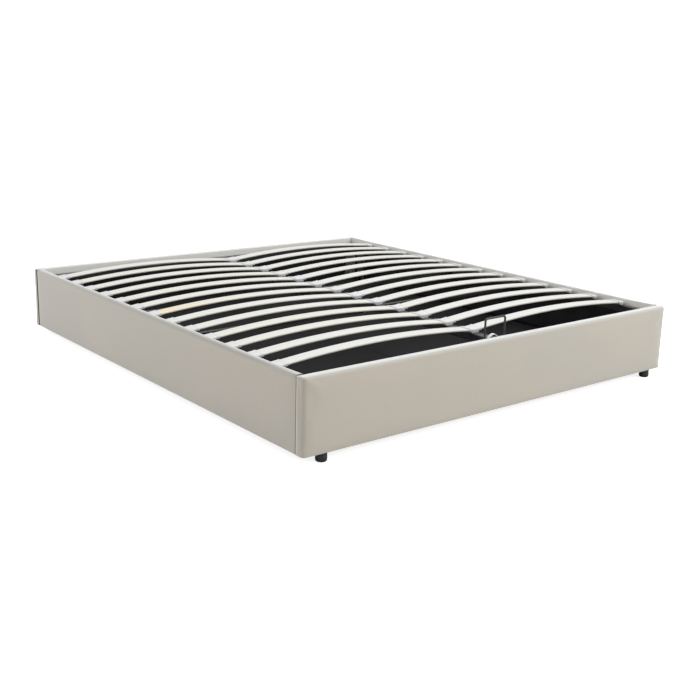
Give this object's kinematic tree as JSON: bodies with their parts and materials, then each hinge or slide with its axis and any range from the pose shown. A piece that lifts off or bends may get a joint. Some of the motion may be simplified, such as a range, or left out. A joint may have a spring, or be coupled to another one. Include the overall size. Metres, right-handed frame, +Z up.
{
  "type": "ottoman storage bed",
  "caption": "Low upholstered bed base with arched slats on a steel frame that lifts at the foot end over a storage box",
  "frame": {"origin": "on the floor under the middle of the bed", "axes": "+Y along the bed towards the head end, +X across the bed, +Z up"},
  "size_m": [1.88, 2.12, 0.355],
  "materials": {
    "cover_cloth": "woven upholstery cloth, greige",
    "foam": "open foam",
    "board": "raw particle board",
    "dark_lining": "black non-woven lining",
    "softwood": "planed softwood",
    "floor_panel": "black-faced board",
    "black_plastic": "black moulded",
    "zinc_plate": "zinc plated",
    "fasteners": "zinc plated",
    "frame_steel": "dark powder coat",
    "slat_wood": "white-faced laminated beech",
    "cap_plastic": "white moulded",
    "retainer_wire": "dark powder coat",
    "webbing": "white woven webbing",
    "strut_black": "black gloss paint",
    "strut_rod": "polished rod"
  },
  "bodies": {
    "base": {"base_panel_left": "floor_panel", "base_panel_right": "floor_panel", "bracket_screws": "fasteners", "centre_beam": "softwood", "centre_legs": "black_plastic", "corner_brackets": "zinc_plate", "corner_feet": "black_plastic", "end_ledgers": "softwood", "foot_rail_board": "board", "foot_rail_cover": "cover_cloth", "foot_rail_padding": "foam", "frame_rests": "zinc_plate", "head_rail_board": "board", "head_rail_cover": "cover_cloth", "head_rail_padding": "foam", "hinge_plate_left": "zinc_plate", "hinge_plate_right": "zinc_plate", "pivot_pins_left": "fasteners", "pivot_pins_right": "fasteners", "side_ledgers": "softwood", "side_rail_board_left": "board", "side_rail_board_right": "board", "side_rail_cover_left": "cover_cloth", "side_rail_cover_right": "cover_cloth", "side_rail_padding_left": "foam", "side_rail_padding_right": "foam", "storage_lining": "dark_lining"},
    "lift_frame": {"brace_bolts": "fasteners", "centre_rail": "frame_steel", "corner_bolts": "fasteners", "cross_brace_foot": "frame_steel", "cross_brace_head": "frame_steel", "foot_crossbar": "frame_steel", "head_crossbar": "frame_steel", "mattress_retainer": "retainer_wire", "pull_strap": "webbing", "side_tube_left": "frame_steel", "side_tube_right": "frame_steel", "slat_caps_centre": "cap_plastic", "slat_caps_left": "cap_plastic", "slat_caps_right": "cap_plastic", "slat_row_01": "slat_wood", "slat_row_02": "slat_wood", "slat_row_03": "slat_wood", "slat_row_04": "slat_wood", "slat_row_05": "slat_wood", "slat_row_06": "slat_wood", "slat_row_07": "slat_wood", "slat_row_08": "slat_wood", "slat_row_09": "slat_wood", "slat_row_10": "slat_wood", "slat_row_11": "slat_wood", "slat_row_12": "slat_wood", "slat_row_13": "slat_wood", "strut_lug_left": "frame_steel", "strut_lug_right": "frame_steel"},
    "left_cylinder": {"strut_cylinder_left": "strut_black"},
    "left_rod": {"strut_rod_left": "strut_rod"},
    "right_cylinder": {"strut_cylinder_right": "strut_black"},
    "right_rod": {"strut_rod_right": "strut_rod"}
  },
  "joints": [
    {"name": "platform_lift", "type": "hinge", "parent": "base", "child": "lift_frame", "pos_m": [0, 0.943, 0.257], "axis": [-1, 0, 0], "range_deg": [0, 40]},
    {"name": "left_strut_swing", "type": "hinge", "parent": "base", "child": "left_cylinder", "pos_m": [-0.8935, 0.923, 0.083], "axis": [-1, 0, 0], "range_deg": [0, 20]},
    {"name": "left_strut_stroke", "type": "slide", "parent": "left_cylinder", "child": "left_rod", "axis": [0, -0.7507, 0.6606], "range_m": [0, 0.0864]},
    {"name": "right_strut_swing", "type": "hinge", "parent": "base", "child": "right_cylinder", "pos_m": [0.8935, 0.923, 0.083], "axis": [-1, 0, 0], "range_deg": [0, 20]},
    {"name": "right_strut_stroke", "type": "slide", "parent": "right_cylinder", "child": "right_rod", "axis": [0, -0.7507, 0.6606], "range_m": [0, 0.0864]}
  ],
  "couplings": [
    {"joint": "left_strut_swing", "follows": "platform_lift", "ratio": 0.4999},
    {"joint": "left_strut_stroke", "follows": "platform_lift", "m_per_rad": 0.12367},
    {"joint": "right_strut_swing", "follows": "platform_lift", "ratio": 0.4999},
    {"joint": "right_strut_stroke", "follows": "platform_lift", "m_per_rad": 0.12367}
  ]
}
